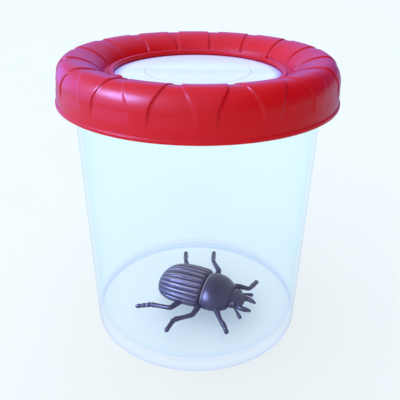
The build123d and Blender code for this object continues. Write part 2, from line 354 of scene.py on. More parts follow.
def per(size: float) -> float:
    """Gives the texture scale whose features are about a size in millimetres."""
    return 1 / (size * MM)


def add_node(
    tree: bpy.types.NodeTree, kind: str, links: dict[Any, Any] | None = None, out: int | str = 0, **settings: Any
) -> Socket | None:
    """Adds a shader node, with its settings and its inputs.

    Args:
        tree: The material's or world's node tree.
        kind: The node's type, without the word ShaderNode.
        links: Input name or number to a value, or to an output socket that feeds it.
        out: The name or number of the output to give back.
        settings: The node's own properties.

    Returns:
        That output's socket, or None from a node without outputs.
    """
    node = tree.nodes.new("ShaderNode" + kind)
    for key, value in settings.items():
        setattr(node, key, value)
    for key, value in (links or {}).items():
        if isinstance(value, Socket):
            tree.links.new(value, node.inputs[key])
        else:
            node.inputs[key].default_value = value
    return node.outputs[out] if node.outputs else None


def empty_nodes(owner: Material | bpy.types.World) -> Adder:
    """Clears the nodes of a material or world, and gives the function that adds its own."""
    owner.use_nodes = True
    owner.node_tree.nodes.clear()
    return partial(add_node, owner.node_tree)


def empty_material(name: str) -> tuple[Material, Adder, Socket]:
    """Gives a new material, the function that adds its nodes, and the object's own coordinates."""
    material = bpy.data.materials.new(name)
    add = empty_nodes(material)
    return material, add, add("TexCoord", out="Object")


def drifting(
    add: Adder, place: Socket, size: float, tones: Tones, detail: float = 2.0
) -> tuple[Socket, Socket]:
    """Lets a soft noise of a size in mm drift between two hex colours, and gives the noise and the colour."""
    noise = add("TexNoise", {"Vector": place, "Scale": per(size), "Detail": detail})
    return noise, add("Mix", {0: noise, 6: linear(tones[0]), 7: linear(tones[1])}, **COLOUR)


def let_light_through(add: Adder, seen: Socket) -> None:
    """Ends a clear material: the eye sees the given shader, and lamps shine through to light what it holds."""
    ray = add("LightPath").node.outputs
    lighting = add("Math", {0: ray["Is Shadow Ray"], 1: ray["Is Diffuse Ray"]}, operation="MAXIMUM")
    clear = add("BsdfTransparent", {"Color": linear("#FFFFFF")})
    add("OutputMaterial", {"Surface": add("MixShader", {0: lighting, 1: seen, 2: clear})})


@dataclass(frozen=True)
class MouldedPlastic:
    """Injection-moulded plastic such as polypropylene or vinyl, coloured in the mass, with a satin skin.

    To the eye, the mould's fine grain breaks highlights into a soft satin, the colour drifts where the melt flowed,
    a paler accent tone paints highlights, a darker one paints shade, and the skin takes a bluish sheen where it turns
    away.

    Attributes:
        tones: Two colours that the melt's flow drifts between.
        painted_light_tone: The colour of painted highlights or painted shade, and painted_light_share how far they go
            to it.
        roughness: The least and most roughness.
        flow: Size of the drift.
        grain: Size of the mould's grain, as fine as shows.
        gleam: The colour that highlights take.
        coat: How strong the broad gloss over the satin is.
    """

    name: str
    tones: Tones
    painted_light_tone: str
    painted_light_share: float = 0.3
    roughness: Pair = (0.27, 0.35)
    flow: float = 16.0
    grain: float = 0.7
    ior: float = 1.49
    specular: float = 0.5
    gleam: str = "#FFFFFF"
    sheen: float = 0.0
    sheen_tint: str = "#FFFFFF"
    sheen_roughness: float = 0.4
    coat: float = 0.0
    coat_roughness: float = 0.5

    def material(self) -> Material:
        """Builds the material."""
        material, add, place = empty_material(self.name)
        tone = drifting(add, place, self.flow, self.tones, 3.0)[1]
        grain = add("TexNoise", {"Vector": place, "Scale": per(self.grain), "Detail": 2.0})
        # The accent mixes in painted light: highlights in a paler tone, shade in a darker one.
        accent = add("Attribute", out="Fac", attribute_name="accent")
        share = add("Math", {0: accent, 1: self.painted_light_share}, operation="MULTIPLY")
        colour = add("Mix", {0: share, 6: tone, 7: linear(self.painted_light_tone)}, **COLOUR)
        least, most = self.roughness
        skin = {
            "Base Color": colour,
            "Roughness": add("MapRange", {"Value": grain, "To Min": least, "To Max": most}),
            "IOR": self.ior,
            "Specular IOR Level": self.specular,
            "Specular Tint": linear(self.gleam),
            "Sheen Weight": self.sheen,
            "Sheen Tint": linear(self.sheen_tint),
            "Sheen Roughness": self.sheen_roughness,
            "Coat Weight": self.coat,
            "Coat Roughness": self.coat_roughness,
        }
        add("OutputMaterial", {"Surface": add("BsdfPrincipled", skin)})
        return material


@dataclass(frozen=True)
class ClearWall:
    """Clear injection-moulded polystyrene in a thin wall, with a polished skin.

    To the eye, light goes straight through with a faint tint, which gathers along the wall's length and at the floor's
    corner. At the foot's edge on the table the same tint is partly painted contact shade. The skin mirrors the room,
    most where it turns away, and the melt's flow leaves a barely seen haze.

    Attributes:
        tints: Two colours that the haze drifts between.
        edge_tint: The colour of the wall seen along its length.
        accent_tint: The colour of the rings at the floor's corner and, partly as painted contact shade, the foot's
            edge.
        floor_top: The height that parts the floor from the wall.
        mirror: The share of light that the skin mirrors, face on and edge on.
        falloff: The powers of the slant by which the edge's tint and its mirror fade.
        haze: Size of the drift.
    """

    name: str
    tints: Tones
    edge_tint: str
    accent_tint: str
    floor_tint: str
    floor_top: float
    mirror: Pair = (0.01, 0.5)
    falloff: Pair = (6.0, 5.0)
    haze: float = 22.0
    roughness: float = 0.03

    def material(self) -> Material:
        """Builds the material."""
        material, add, place = empty_material(self.name)
        tint = drifting(add, place, self.haze, self.tints)[1]
        accent = add("Attribute", out="Fac", attribute_name="accent")
        slant = add("LayerWeight", {"Blend": 0.5}, "Facing")
        length, away = (add("Math", {0: slant, 1: power}, operation="POWER") for power in self.falloff)
        height = add("SeparateXYZ", {0: place}, "Z")
        low = add("Math", {0: height, 1: self.floor_top * MM}, operation="LESS_THAN")
        # The accent's rings: the floor's corner, and the foot's edge, partly painted contact shade.
        for share, code in ((low, self.floor_tint), (length, self.edge_tint), (accent, self.accent_tint)):
            tint = add("Mix", {0: share, 6: tint, 7: linear(code)}, **COLOUR)
        straight = add("BsdfRefraction", {"Color": tint, "Roughness": 0.0, "IOR": 1.0})
        skin = add("BsdfGlossy", {"Color": linear("#FFFFFF"), "Roughness": self.roughness})
        mirrored = add("MapRange", {"Value": away, "To Min": self.mirror[0], "To Max": self.mirror[1]})
        let_light_through(add, add("MixShader", {0: mirrored, 1: straight, 2: skin}))
        return material


@dataclass(frozen=True)
class ClearLens:
    """Clear injection-moulded acrylic in a solid lens, with a polished skin.

    To the eye, its faces magnify about twice and its skin mirrors at a grazing angle. A violet tint there and in a band
    round its rim paints a reflection. Light that its faces would trap goes straight out instead, as fine scuffs let it.

    Attributes:
        tints: Two colours that a barely seen haze drifts between.
        accent_tint: The violet of the painted reflection.
        haze: Size of the drift.
        roughness: The least and most roughness.
        trapped: The slants, from 0 for face on to 1 for edge on, between which light starts to be trapped.
        line_tint: The colour of the line that shows there.
        grazing: The slants between which the skin starts to mirror strongly and the painted violet gathers.
        painted_violet: How far the tint goes to that violet there.
        mirror: The share of light mirrored below the first of those slants and above the second.
    """

    name: str
    tints: Tones
    accent_tint: str
    haze: float = 14.0
    roughness: Pair = (0.0, 0.03)
    ior: float = 1.49
    trapped: Pair = (0.185, 0.262)
    line_tint: str = "#D0D8E6"
    grazing: Pair = (0.775, 0.875)
    painted_violet: float = 0.55
    mirror: Pair = (0.02, 0.22)

    def material(self) -> Material:
        """Builds the material."""
        material, add, place = empty_material(self.name)
        haze, thin = drifting(add, place, self.haze, self.tints)
        accent = add("Attribute", out="Fac", attribute_name="accent")
        slant = add("LayerWeight", {"Blend": 0.5}, "Facing")
        span = {"Value": slant, "From Min": self.grazing[0], "From Max": self.grazing[1]}
        # Painted reflection: at a grazing angle and in the rim's band the tint goes violet.
        grazed = add("MapRange", {**span, "To Max": self.painted_violet})
        tint_share = add("Math", {0: accent, 1: grazed}, operation="MAXIMUM")
        tint = add("Mix", {0: tint_share, 6: thin, 7: linear(self.accent_tint)}, **COLOUR)
        least, most = self.roughness
        rough = add("MapRange", {"Value": haze, "To Min": least, "To Max": most})
        bent = add("BsdfRefraction", {"Color": tint, "Roughness": rough, "IOR": self.ior})
        leaving = add("NewGeometry", out="Backfacing")
        steep = {"Value": slant, "From Min": self.trapped[0], "From Max": self.trapped[1], "To Max": leaving}
        held = add("MapRange", steep)
        line = add("Math", {0: held, 1: 0.5}, operation="PINGPONG")
        freed_tint = add("Mix", {0: line, 6: tint, 7: linear(self.line_tint)}, **COLOUR)
        straight = add("BsdfTransparent", {"Color": freed_tint})
        freed = add("MixShader", {0: held, 1: bent, 2: straight})
        skin = add("BsdfGlossy", {"Color": linear("#FFFFFF"), "Roughness": most})
        entering = add("Math", {0: 1.0, 1: leaving}, operation="SUBTRACT")
        gloss = add("MapRange", {**span, "To Min": self.mirror[0], "To Max": self.mirror[1]})
        share = add("Math", {0: gloss, 1: entering}, operation="MULTIPLY")
        let_light_through(add, add("MixShader", {0: share, 1: freed, 2: skin}))
        return material


@dataclass(frozen=True)
class PaleTable:
    """A matt painted table top, plain and pale, with a faint mottle.

    It shows near white to the eye, straight or, with painted light, through the clear pieces; it throws less light on
    the object.

    Attributes:
        tones: Two colours that the mottle drifts between.
        mottle: Size of the drift.
        glow: The colour added where the eye sees it straight, at glow_level.
        through: The colour of painted light added where it is seen through the clear pieces, lifting the shade under
            them.
    """

    name: str = "pale_painted_table"
    tones: Tones = ("#D3D9D8", "#D0D6D6")
    mottle: float = 60.0
    glow: str = "#F0FBFD"
    glow_level: float = 0.35
    # Painted light seen through the clear pieces, and its level.
    through: str = "#DCE9FE"
    painted_light_through_level: float = 0.45
    roughness: float = 0.9
    specular: float = 0.1

    def material(self) -> Material:
        """Builds the material."""
        material, add, place = empty_material(self.name)
        ray = add("LightPath").node.outputs
        straight, through = ray["Is Camera Ray"], ray["Is Transmission Ray"]
        near = add("Math", {0: straight, 1: self.glow_level}, operation="MULTIPLY")
        # Painted light: seen through the clear pieces, the table glows brighter and bluer, lifting the shade under
        # them.
        level = {0: through, 1: self.painted_light_through_level, 2: near}
        tints = {0: through, 6: linear(self.glow), 7: linear(self.through)}
        paint = {
            "Base Color": drifting(add, place, self.mottle, self.tones)[1],
            "Roughness": self.roughness,
            "Specular IOR Level": self.specular,
            "Emission Color": add("Mix", tints, **COLOUR),
            "Emission Strength": add("Math", level, operation="MULTIPLY_ADD"),
        }
        add("OutputMaterial", {"Surface": add("BsdfPrincipled", paint)})
        return material


# The object's sub-assemblies


@dataclass
class Jar:
    """The clear cup with drafted walls, its floor raised on a foot ring."""

    height: float = 118.7
    rim_radius: float = 49.4
    foot_radius: float = 47.8
    wall: float = 1.7
    floor_height: float = 5.8
    floor_thickness: float = 1.6
    rest_gap: float = 0.03
    hub_radius: float = 2.0
    rounding: Series = (0, 1.0, 0.7, 0.7, 0.7, 0.3, 0.7, 0)
    spacing: float = 4.0
    # How far in from the foot's edge its ring of partly painted contact shade lies.
    foot_shade_line: float = 0.4
    corner_tint: float = 0.36
    segments: int = 256
    finish: ClearWall = ClearWall(
        "clear_moulded_polystyrene", ("#FAFFFF", "#FAFEFF"), "#EFFCFF", "#D6DCF2", "#FAFDFF", 6.4
    )

    def section(self) -> Array:
        """Gives the wall's section from the middle of the floor's top, over the rim, to the middle of its underside."""
        hub, rim, foot, wall = self.hub_radius, self.rim_radius, self.foot_radius, self.wall
        top, floor = self.height - self.rest_gap, self.floor_height
        draft = (rim - foot) / self.height
        under = floor - self.floor_thickness
        inner = [(hub, floor), (foot + draft * floor - wall, floor), (rim - wall, top)]
        outer = [(rim, top), (foot, 0.0), (foot - wall, 0.0), (foot - wall, under), (hub, under)]
        return refined(softened(np.array(inner + outer), self.rounding), self.spacing)

    def build(self) -> None:
        """Builds the jar by carrying its section round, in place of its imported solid."""
        section = self.section()
        middle = self.floor_height - self.floor_thickness / 2
        # Two tinted rings: the floor's corner, and the foot's edge on the table, partly painted contact shade.
        spots = np.array([(self.foot_radius - self.wall, middle), (self.foot_radius - self.foot_shade_line, 0.0)])
        away = np.linalg.norm(section[:, None] - spots, axis=-1).min(axis=1)
        tint_share = np.tile(self.corner_tint * bump(away, 0.0, 1.0)[:, None], self.segments)
        wall = Surface(revolved(section, self.segments), tips=True, accent=tint_share)
        piece = make_piece("jar_shell", [wall], self.finish.material(), Body.JAR)
        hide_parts("jar_body")


@dataclass
class Lid:
    """The red ring lid with its lapped lobes, the lens in its middle and the ring that keeps the lens in."""

    radius: float = 55.9
    top: float = 120.8
    bottom: float = 103.9
    wall: float = 1.8
    bead_top: float = 105.3
    bead_step: float = 0.5
    bead_slant: float = 0.1
    bead_rounding: Series = (0, 0.35, 0.35, 0.2, 0)
    skirt_draft: float = 0.3
    shoulder_drop: float = 8.3
    crest_radius: float = 49.0
    slope_reach: float = 13.0
    slope_drop: float = 10.3
    ceiling: float = 118.7
    valley: float = 114.0
    valley_width: float = 1.5
    seat_radius: float = 35.2
    seat_rounding: Series = (0, 0.2, 0.3, 0.3, 0.1, 0.3, 0)
    window_radius: float = 33.2
    ledge_top: float = 111.5
    ledge_bottom: float = 110.3
    ledge_foot: float = 0.6
    lobes: int = 16
    first_gap: float = -75.95
    lap_step: float = 0.36
    lap_edge: float = 0.16
    lap_end: float = 108.6
    lap_run_in: float = 0.6
    # Width of the painted shade along each lap, as a share of half the lap.
    seam_shade_width: float = 0.7
    gap_start: float = 37.3
    gap_half_widths: Triple = (0.4, 2.6, 8.1)
    rib_count: int = 8
    rib_span: Pair = (49.75, 53.5)
    rib_heights: Pair = (106.3, 116.0)
    rib_thickness: float = 1.4
    rib_squareness: float = 0.2
    collar_radii: Pair = (33.1, 35.0)
    collar_heights: Pair = (113.55, 115.2)
    collar_rounding: Series = (0.1, 0.1, 0.45, 0.45)
    tab_angle: float = 33.6
    tab_half: Triple = (0.6, 1.6, 1.1)
    tab_top: float = 116.4
    tab_squareness: float = 0.3
    lens_radius: float = 34.9
    lens_faces: Pair = (111.53, 113.52)
    lens_rounding: float = 0.25
    magnifier_radius: float = 32.3
    upper_swell: float = 1.0
    lower_swell: float = 4.4
    # Where the lens's painted violet reflection eases in.
    rim_band: Pair = (29.0, 33.5)
    bowl_line: Pair = (21.0, 0.22)
    line_share: float = 0.6
    segments: int = 256
    # The dark tone paints shade along the lap seams.
    finish: MouldedPlastic = MouldedPlastic(
        "red_moulded_polypropylene", ("#E6060F", "#DC040C"), "#7A0614", painted_light_share=0.34, roughness=(0.26, 0.32),
        specular=0.2, gleam="#DCE8FF", sheen=0.46, sheen_tint="#5464F8", sheen_roughness=0.34, coat=0.24,
        coat_roughness=0.6,
    )
    lens_finish: ClearLens = ClearLens("clear_moulded_acrylic", ("#FFFFFF", "#FEFEFF"), "#D9C4FF")

    def outside(self) -> Array:
        """Gives the section that shows: valley, slope, crest, shoulder and skirt, down to the bead."""
        skirt, crest = self.radius - self.bead_step, self.crest_radius
        reach, drop = self.slope_reach, self.slope_drop
        low = np.degrees(np.arcsin((self.valley - self.top + drop) / drop))
        slope = arc((crest, self.top - drop), reach, drop, 180 - low, 90, 40)
        reach, drop = skirt - self.skirt_draft - crest, self.shoulder_drop
        turn = arc((crest, self.top - drop), reach, drop, 90, 0, 30)
        return np.vstack([slope, turn[1:], refined(np.array([turn[-1], (skirt, self.bead_top)]), 0.7)[1:]])

    def inside(self) -> Array:
        """Gives the section that is out of sight: bead, hollow, ceiling and lens seat, back up to the valley."""
        skirt, crest, wall = self.radius - self.bead_step, self.crest_radius, self.wall
        hollow, base = skirt - wall, self.top - self.shoulder_drop
        turn = arc((crest, base), hollow - self.skirt_draft - crest, self.shoulder_drop - wall, 0, 90, 14)
        slope = arc((crest, self.top - self.slope_drop), self.slope_reach - wall, self.slope_drop - wall, 90, 180, 16)
        vault = np.vstack([turn, slope[1:]])
        vault[:, 1] = np.minimum(vault[:, 1], self.ceiling)
        bead = [(skirt, self.bead_top), (self.radius, self.bead_top - self.bead_slant), (self.radius, self.bottom)]
        bead += [(hollow, self.bottom), (hollow - self.skirt_draft, base)]
        root, low, high = crest - self.slope_reach + wall, self.ledge_bottom, self.ledge_top
        window, seat, valley = self.window_radius, self.seat_radius, self.valley
        ledge = [(root, low + self.ledge_foot), (root, low), (window, low), (window, high)]
        ledge += [(seat, high), (seat, valley), (seat + self.valley_width, valley)]
        skirt_foot = softened(np.array(bead), self.bead_rounding)[1:]
        lens_seat = softened(np.array(ledge), self.seat_rounding)[:-1]
        return np.vstack([refined(skirt_foot, 2.0), vault[1:-1], refined(lens_seat, 2.0)])

    def gap_half_angle(self, radius: Array) -> Array:
        """Gives half the angle that a gap between two lobes takes up, at each radius.

        A gap's side, seen from above, runs straight from the lens to a point P on the crest, then flares along a
        circle that touches the line and ends on the skirt. With d the way from P to that end and n the line's
        normal, the circle's radius is |d|^2 / (2 d.n), and its centre lies that far from P along n.

        Args:
            radius: Distances from the axis.

        Returns:
            Half angles, in radians.
        """
        skirt = self.radius - self.bead_step
        inner, crest, outer = self.gap_half_widths
        start, middle = np.array([self.gap_start, inner]), np.array([self.crest_radius, crest])
        end = np.array([np.sqrt(skirt**2 - outer**2), outer])
        along = (middle - start) / np.linalg.norm(middle - start)
        normal = np.array([-along[1], along[0]])
        chord = end - middle
        bend = chord @ chord / (2 * chord @ normal)
        turn = 2 * np.arcsin(np.linalg.norm(chord) / (2 * bend))
        swing = np.linspace(0, turn, 60)[:, None]
        flare = middle + bend * (np.sin(swing) * along + (1 - np.cos(swing)) * normal)
        side = np.vstack([start, flare])
        return np.interp(radius, np.hypot(side[:, 0], side[:, 1]), np.arctan2(side[:, 1], side[:, 0]))

    def lobe_grid(self, outside: Array, hidden: int) -> tuple[Array, Array, Array]:
        """Gives a grid whose columns follow the gaps' sides, so that each lap is a clean thin step.

        Columns stand at even shares of the gap, close together across the lap, then at even shares of the lobe.
        The depth eases to nothing across the lap, starts at the gap's inner end and runs out down the skirt.

        Args:
            outside: The section points that show.
            hidden: How many section points follow them out of sight. Their columns go back evenly to the first's.

        Returns:
            Angles in radians, depths in mm and the painted shade along the seams, each section points by columns.
        """
        half = self.gap_half_angle(outside[:, 0])
        edge = self.lap_edge / outside[:, 0]
        back = np.linspace(0, 1, hidden + 2)[1:-1]
        half, edge = (np.concatenate([v, v[-1] + (v[0] - v[-1]) * back])[:, None] for v in (half, edge))
        pitch = 2 * np.pi / self.lobes
        gap, lap, lobe = np.linspace(0, 1, 7)[None, :-1], np.linspace(-1, 1, 5)[None, :], np.linspace(0, 1, 8)[None, 1:]
        right = np.hstack([gap * (half - edge), half + lap * edge, half + edge + lobe * (pitch / 2 - half - edge)])
        within = np.concatenate([np.ones(gap.size), eased((1 - lap[0]) / 2), np.zeros(lobe.size)])
        # Painted shade: a thin dark line down the middle of each lap.
        painted_seam_shade = np.concatenate([np.zeros(gap.size), bump(lap[0], 0.0, self.seam_shade_width), np.zeros(lobe.size)])
        sector = np.hstack([-right[:, :0:-1], right[:, :-1]])
        within, painted_seam_shade = (np.concatenate([share[:0:-1], share[:-1]]) for share in (within, painted_seam_shade))
        turns = np.radians(self.first_gap) + pitch * np.arange(self.lobes)
        angle = (turns[None, :, None] + sector[:, None, :]).reshape(len(sector), -1)
        start = eased((outside[:, 0] - self.gap_start + self.lap_run_in) / (2 * self.lap_run_in))
        end = np.clip((outside[:, 1] - self.lap_end) / (self.top - self.shoulder_drop - self.lap_end), 0, 1)
        shown = np.concatenate([start * end, np.zeros(hidden)])[:, None]
        depth, seam = (np.tile(share, self.lobes)[None, :] * shown for share in (within, painted_seam_shade))
        return angle, self.lap_step * depth, seam

    def build_ring(self) -> None:
        """Builds the ring: the section carried round, moved in along its own normal where a gap lies."""
        outside, inside = self.outside(), self.inside()
        section = np.vstack([outside, inside])
        way = np.roll(section, -1, axis=0) - np.roll(section, 1, axis=0)
        way /= np.linalg.norm(way, axis=1, keepdims=True)
        outward = np.stack([-way[:, 1], way[:, 0]], axis=-1)
        angle, depth, seam = self.lobe_grid(outside, len(inside))
        radius = section[:, 0, None] - depth * outward[:, 0, None]
        height = section[:, 1, None] - depth * outward[:, 1, None]
        points = np.stack([radius * np.cos(angle), radius * np.sin(angle), height], axis=-1)
        # The accent carries the painted shade along the laps.
        ring = Surface(points, wrap_rows=True, accent=seam)
        piece = make_piece("lid_shell", [ring], self.finish.material(), Body.LID)
        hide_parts("lid_ring")
        (inner, outer), (low, high) = self.rib_span, self.rib_heights
        middle = np.array([(inner + outer) / 2, 0.0, (low + high) / 2])
        half = np.array([(outer - inner) / 2, self.rib_thickness / 2, (high - low) / 2])
        rib = pillow(middle, half, self.rib_squareness)
        turns = (self.first_gap + k * (360 / self.rib_count) for k in range(self.rib_count))
        ribs = [Surface(turned(rib, turn), tips=True) for turn in turns]
        make_piece("lid_guide_ribs", ribs, piece.data.materials[0], Body.LID)
        self.build_collar(piece.data.materials[0])

    def build_collar(self, red: Material) -> None:
        """Builds the ring that keeps the lens in, in the lid's red: a rounded band with two finger tabs."""
        (inner, outer), (low, high) = self.collar_radii, self.collar_heights
        corners = np.array([(inner, low), (outer, low), (outer, high), (inner, high)])
        band = refined(softened(corners, self.collar_rounding, closed=True), 0.6, 0.05)
        half = np.array(self.tab_half)
        tab = pillow(np.array([(inner + outer) / 2, 0.0, self.tab_top - half[2]]), half, self.tab_squareness)
        tabs = [Surface(turned(tab, self.tab_angle + turn), tips=True) for turn in (0, 180)]
        ring = Surface(revolved(band, self.segments), wrap_rows=True)
        piece = make_piece("lens_collar", [ring, *tabs], red, Body.LID)
        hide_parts("lens_retaining_ring")

    def build_lens(self) -> None:
        """Builds the lens: a narrow flange round a magnifier whose faces are parabolas z = swell (1 - (r/R)^2).

        A painted violet reflection eases in across the rim's band, and a fine moulded line runs round the upper face.
        """
        low, high = self.lens_faces
        line, width = self.bowl_line
        near = (line + width * np.linspace(-2, 2, 9)) / self.magnifier_radius
        share = np.union1d(np.linspace(0.02, 1, 48), near)
        radius, dome = share * self.magnifier_radius, 1 - share**2
        upper = np.stack([radius, high + self.upper_swell * dome], axis=-1)
        lower = np.stack([radius, low - self.lower_swell * dome], axis=-1)[::-1]
        flange = np.array([upper[-1], (self.lens_radius, high), (self.lens_radius, low), lower[0]])
        band = refined(softened(flange, self.lens_rounding), 1.0)
        section = np.vstack([upper[:-1], band, lower[1:]])
        # Painted reflection: the rim's band eases to the violet tint.
        tint_share = eased((section[:, 0] - self.rim_band[0]) / (self.rim_band[1] - self.rim_band[0]))
        fine = bump(section[:, 0], line, width) * np.where(section[:, 1] > high, self.line_share, 0.0)
        accent = np.tile(np.maximum(tint_share, fine)[:, None], self.segments)
        lens = Surface(revolved(section, self.segments), tips=True, accent=accent)
        piece = make_piece("lens_disc", [lens], self.lens_finish.material(), Body.LID)
        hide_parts("magnifier_lens")

    def build(self) -> None:
        """Builds the ring with its ribs and collar, then the lens."""
        self.build_ring()
        self.build_lens()


@dataclass(frozen=True)
class LimbKind:
    """A kind of limb: its radii at shares of its length, how far from a joint it bends, and its beads' height."""

    knots: Series
    radii: Series
    bend: float
    beads: float = 0.0


JAW = LimbKind((0, 0.4, 0.75, 1), (1.5, 1.25, 1.0, 0.45), 1.4)
FEELER = LimbKind((0, 0.5, 0.8, 1), (0.6, 0.6, 0.85, 0.95), 1.5)
LEG = LimbKind((0, 0.2, 0.38, 0.55, 0.7, 0.85, 1), (1.35, 1.4, 1.15, 1.0, 1.15, 1.0, 1.05), 1.3, 0.12)

# The angles round a slice of the beetle, finer over the back than under the belly, and how high each lies
ROUND = np.concatenate([np.linspace(0, np.pi, 241), np.linspace(np.pi, 2 * np.pi, 25)[1:-1]])[None, :]
RISE = np.sin(ROUND)


@dataclass
class Beetle:
    """The moulded toy beetle, in its own frame: +X to the head, +Y to its left, Z up from the jar's floor.

    A form's size is its half width, its top and its belly's height. Shares and stations run along its length, and
    lip is the share in which an edge rolls over. Limbs are given by their joints.
    """

    place: Triple = (4.8, -6.1, 5.8)
    heading: float = -22.0
    margin: float = 2.8
    lip: float = 0.03
    wing_length: float = 24.4
    wing_size: Triple = (12.3, 13.2, 1.4)
    wing_full: float = 0.3
    ridges: int = 14
    ridge: float = 0.45
    seam: float = 0.25
    shield_start: float = 0.3
    shield_length: float = 12.8
    shield_size: Triple = (11.7, 12.3, 1.4)
    shield_stations: Series = (0.0, 0.3, 0.65, 1.01)
    shield_widths: Series = (0.95, 1.0, 0.95, 0.7)
    shield_rises: Series = (0.94, 1.0, 0.84, 0.5)
    head_start: float = 10.5
    head_length: float = 8.6
    head_size: Triple = (6.3, 7.0, 2.0)
    head_stations: Series = (0.0, 0.45, 0.8, 1.0)
    head_widths: Series = (0.95, 1.0, 0.8, 0.54)
    head_rises: Series = (0.95, 0.9, 0.55, 0.3)
    waist_half_length: float = 3.0
    waist_share: float = 0.88
    waist_size: Triple = (11.7, 12.3, 1.9)
    clearance: float = 0.12
    eye: Triple = (14.9, 4.7, 4.3)
    eye_half: Triple = (1.5, 1.2, 1.2)
    eye_turn: float = 20.0
    jaws: tuple[Path, ...] = (
        ((16.0, 2.6, 2.6), (19.4, 3.4, 2.5), (21.6, 3.0, 2.4), (24.2, 1.8, 2.2)),
        ((16.0, -3.0, 2.6), (19.2, -4.6, 2.5), (21.2, -4.4, 2.4), (23.8, -4.2, 2.2)),
    )
    feelers: tuple[Path, ...] = (
        ((14.8, 4.2, 3.2), (18.2, 5.8, 3.0), (21.6, 6.6, 2.8)),
        ((14.8, -4.4, 3.2), (17.6, -7.4, 2.8), (20.8, -11.2, 2.5)),
    )
    legs: tuple[Path, ...] = (
        ((-7.5, -8.0, 3.3), (-10.8, -17.9, 3.7), (-20.9, -17.8, 2.4), (-28.1, -20.0, 0.7)),
        ((0.5, -8.0, 3.2), (0.2, -18.0, 3.2), (-6.6, -23.7, 2.8), (-7.7, -30.3, 0.7)),
        ((7.2, -8.0, 3.0), (12.8, -15.8, 2.7), (15.7, -18.4, 2.2), (18.0, -21.1, 0.7)),
        ((-8.0, 8.0, 3.4), (-14.8, 12.6, 5.2), (-18.1, 16.8, 5.6), (-24.0, 30.6, 0.8)),
        ((1.0, 8.0, 3.2), (0.9, 15.0, 5.8), (-5.3, 23.2, 5.0), (-9.8, 36.8, 0.8)),
        ((8.0, 7.0, 3.2), (13.2, 9.0, 4.0), (18.5, 9.8, 3.4), (19.6, 20.6, 0.7)),
    )
    # The pale tone paints highlights on the ridge crests and along the shield's rim.
    finish: MouldedPlastic = MouldedPlastic(
        "dark_moulded_vinyl", ("#3F3A66", "#322E52"), "#CECBEE", painted_light_share=0.7, roughness=(0.33, 0.41),
        flow=7.0, grain=0.5, gleam="#F6E6E0",
    )

    def placed(self, points: Array) -> Array:
        """Lifts points clear of the jar's floor, then turns and moves them to where the beetle stands."""
        lifted = points.copy()
        lifted[..., 2] = np.maximum(lifted[..., 2], self.clearance)
        return turned(lifted, self.heading) + np.array(self.place)

    def hull(
        self, along: Array, shares: tuple[Array, Array], size: Triple, swell: Array | float = 0.0,
        accent: Array | None = None,
    ) -> Surface:
        """Carries a slice along the body: a half ellipse over the margin and a flatter one under it.

        y = (width + swell) cos a and z = margin + (rise + swell) sin a over the margin, and the belly's drop
        takes the place of the rise under it.

        Args:
            along: Where each slice stands.
            shares: Its width and rise, as shares of the size.
            size: The half width, the top's height and the belly's.
            swell: Slices by angles, added outwards over the margin.
            accent: Slices by angles, where highlights are painted.

        Returns:
            The form's surface, placed in the jar.
        """
        half_width, top, belly = size
        width, rise = (shares[0] * half_width)[:, None], (shares[1] * (top - self.margin))[:, None]
        over = RISE >= 0
        drop = (self.margin - belly) * np.clip(width / self.head_size[0], 0, 1)
        y = (width + np.where(over, swell, 0.0)) * np.cos(ROUND)
        z = self.margin + np.where(over, (rise + swell) * RISE, drop * RISE)
        points = np.stack([along[:, None] + 0 * ROUND, y, z], axis=-1)
        return Surface(self.placed(points), tips=True, accent=accent)

    def wing_cases(self) -> Surface:
        """Gives the wing cases: the width keeps full, then closes on a superellipse, under rounded ridges.

        The ridges are |sin(n a)| to a small power, so that narrow grooves part round ridges, and they fade to
        the tail and at the margin. Thin painted highlights run along their crests, strongest on top.
        """
        rear = self.lip + (1 - self.lip) * np.sin(np.linspace(0, np.pi / 2, 80))[1:-1]
        t = np.concatenate([[0.0, 0.004, 0.012, 0.024], rear])
        front = 1 - 0.05 * np.clip((self.wing_full - t) / self.wing_full, 0, 1) ** 2
        share = rolled(1 - t / self.lip, 0.12) * front * rolled((t - self.wing_full) / 0.7, power=2.8)
        row = np.abs(np.sin(self.ridges * ROUND)) ** 0.7
        fade = (eased(t / 0.06) * eased((1 - t) / 0.25))[:, None]
        swell = self.ridge * row * fade * np.where(RISE >= 0, 1.0, 0.0)
        seam = bump(ROUND, np.pi / 2, 0.02) * self.seam * fade
        # Painted highlights: thin pale lines on the ridge crests, strongest on top.
        painted_crest_highlight = np.clip(row**20 * fade, 0, 1) * np.clip(RISE, 0, 1)
        return self.hull(-t * self.wing_length, (share, share), self.wing_size, swell - seam, painted_crest_highlight)

    def shield(self) -> Surface:
        """Gives the shield: widths and heights through a few stations, with a rolled rim at its rear edge."""
        t = np.concatenate([[0.0, 0.004, 0.012], 0.02 + 0.98 * np.linspace(0, 1, 60), [1.004, 1.006]])
        lip, nose = rolled(1 - t / self.lip, 0.1), rolled((t - 0.97) / 0.037, 0.2)
        width = through(self.shield_stations, self.shield_widths, t) * lip * nose
        rise = through(self.shield_stations, self.shield_rises, t) * lip * nose
        edge = bump(t, self.lip, self.lip)
        groove = -0.22 * bump(t, 0.085, 0.03) + 0.12 * edge
        rim = 0.25 * bump(np.minimum(ROUND, np.pi - ROUND), 0.02, 0.08)
        along = self.shield_start + t * (self.shield_length - self.shield_start)
        # Painted highlight along the top of the rolled rear rim.
        painted_rim_highlight = (edge[:, None] + 0 * ROUND) * np.clip(RISE, 0, 1)
        return self.hull(along, (width, rise), self.shield_size, groove[:, None] + rim, painted_rim_highlight)

